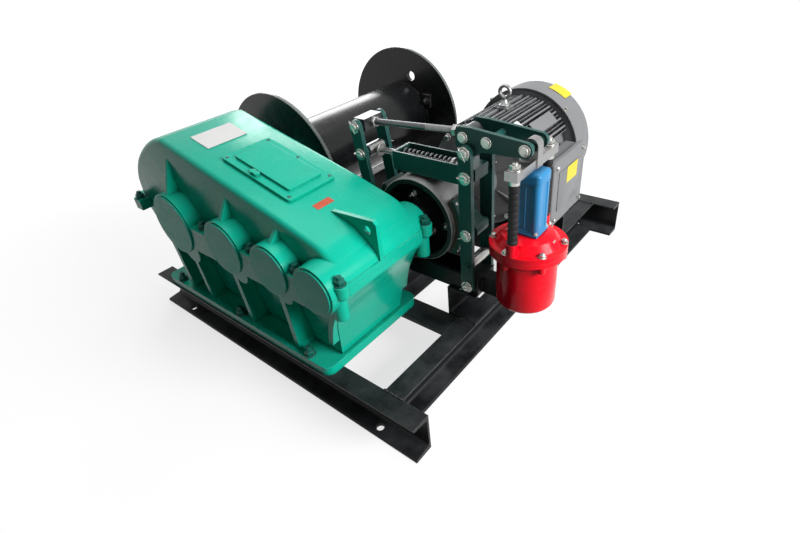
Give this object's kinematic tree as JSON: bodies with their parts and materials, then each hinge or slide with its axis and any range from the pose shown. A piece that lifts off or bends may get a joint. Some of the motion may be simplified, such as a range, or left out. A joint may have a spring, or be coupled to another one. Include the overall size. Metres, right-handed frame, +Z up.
{
  "type": "mooring winch",
  "caption": "Electric mooring winch: rope drum on a channel-steel frame, driven by a finned motor through a closed gear case, with a thruster-released shoe brake.",
  "frame": {"origin": "middle of the footprint, on the floor", "axes": "+Z up, +X along the gear case towards the brake thruster, +Y along the drum and the motor, away from the gear case"},
  "size_m": [1.088, 1.064, 0.57],
  "materials": {
    "frame_black": "semi-gloss paint",
    "gear_green": "gloss paint",
    "cap_green": "satin paint",
    "drum_black": "gloss paint",
    "bare_steel": "zinc-plated and machined",
    "wheel_iron": "turned rim, painted sides",
    "motor_grey": "satin paint",
    "brake_green": "satin paint",
    "thruster_red": "gloss paint",
    "thruster_blue": "satin paint"
  },
  "bodies": {
    "frame": {"front_channel": "frame_black", "far_channel": "frame_black", "right_rail": "frame_black", "left_rail": "frame_black", "cross_plate": "frame_black", "inner_rail": "frame_black", "motor_seat_front": "frame_black", "motor_seat_rear": "frame_black", "brake_riser_left": "frame_black", "brake_riser_right": "frame_black", "drum_pedestal": "frame_black", "gearbox_base": "gear_green", "gearbox_cover": "gear_green", "inspection_cover": "gear_green", "bearing_cap_1": "cap_green", "bearing_cap_2": "cap_green", "bearing_cap_3": "cap_green", "bearing_cap_4": "cap_green", "motor_body": "motor_grey", "motor_end_shield": "motor_grey", "fan_cowl": "motor_grey", "terminal_box": "motor_grey", "eye_bolt": "bare_steel", "brake_base": "frame_black", "thruster_tank": "thruster_red", "thruster_lid": "thruster_red", "thruster_motor": "thruster_blue"},
    "drum": {"drum_shell": "drum_black", "drum_flange_near": "drum_black", "drum_flange_far": "drum_black", "drum_shaft": "bare_steel"},
    "input_line": {"input_shaft": "bare_steel", "brake_wheel": "wheel_iron", "motor_coupling": "frame_black", "motor_shaft": "bare_steel"},
    "right_arm": {"right_arm": "brake_green", "brake_shoe_right": "brake_green", "spring_housing": "brake_green", "brake_spring": "bare_steel"},
    "left_arm": {"left_arm": "brake_green", "brake_shoe_left": "brake_green", "spring_rod": "bare_steel"},
    "tie_rod": {"tie_rod": "bare_steel"},
    "lever": {"lever": "brake_green"},
    "crosshead": {"crosshead": "bare_steel"}
  },
  "joints": [
    {"name": "drum_spin", "type": "hinge", "parent": "frame", "child": "drum", "pos_m": [-0.294, 0.1, 0.34], "axis": [0, 1, 0], "continuous": true},
    {"name": "input_spin", "type": "hinge", "parent": "frame", "child": "input_line", "pos_m": [0.211, -0.168, 0.34], "axis": [0, 1, 0], "continuous": true},
    {"name": "thruster_lift", "type": "slide", "parent": "frame", "child": "crosshead", "axis": [0, 0, 1], "range_m": [0, 0.018]},
    {"name": "right_arm_swing", "type": "hinge", "parent": "frame", "child": "right_arm", "pos_m": [0.346, -0.168, 0.207], "axis": [0, 1, 0], "range_deg": [0, 0.4]},
    {"name": "left_arm_swing", "type": "hinge", "parent": "frame", "child": "left_arm", "pos_m": [0.098, -0.168, 0.207], "axis": [0, 1, 0], "range_deg": [-0.4, 0], "deforming": ["brake_spring"]},
    {"name": "lever_tilt", "type": "hinge", "parent": "right_arm", "child": "lever", "pos_m": [0.346, -0.168, 0.523], "axis": [0, 1, 0], "range_deg": [-9.3, 0]},
    {"name": "tie_rod_swing", "type": "hinge", "parent": "left_arm", "child": "tie_rod", "pos_m": [0.059, -0.168, 0.533], "axis": [0, 1, 0], "range_deg": [0, 0.75]}
  ],
  "couplings": [
    {"joint": "input_spin", "follows": "drum_spin", "ratio": -31.5},
    {"joint": "right_arm_swing", "follows": "thruster_lift", "rad_per_m": 0.3323},
    {"joint": "left_arm_swing", "follows": "thruster_lift", "rad_per_m": -0.3323},
    {"joint": "lever_tilt", "follows": "thruster_lift", "rad_per_m": -8.822},
    {"joint": "tie_rod_swing", "follows": "thruster_lift", "rad_per_m": 0.6536}
  ]
}
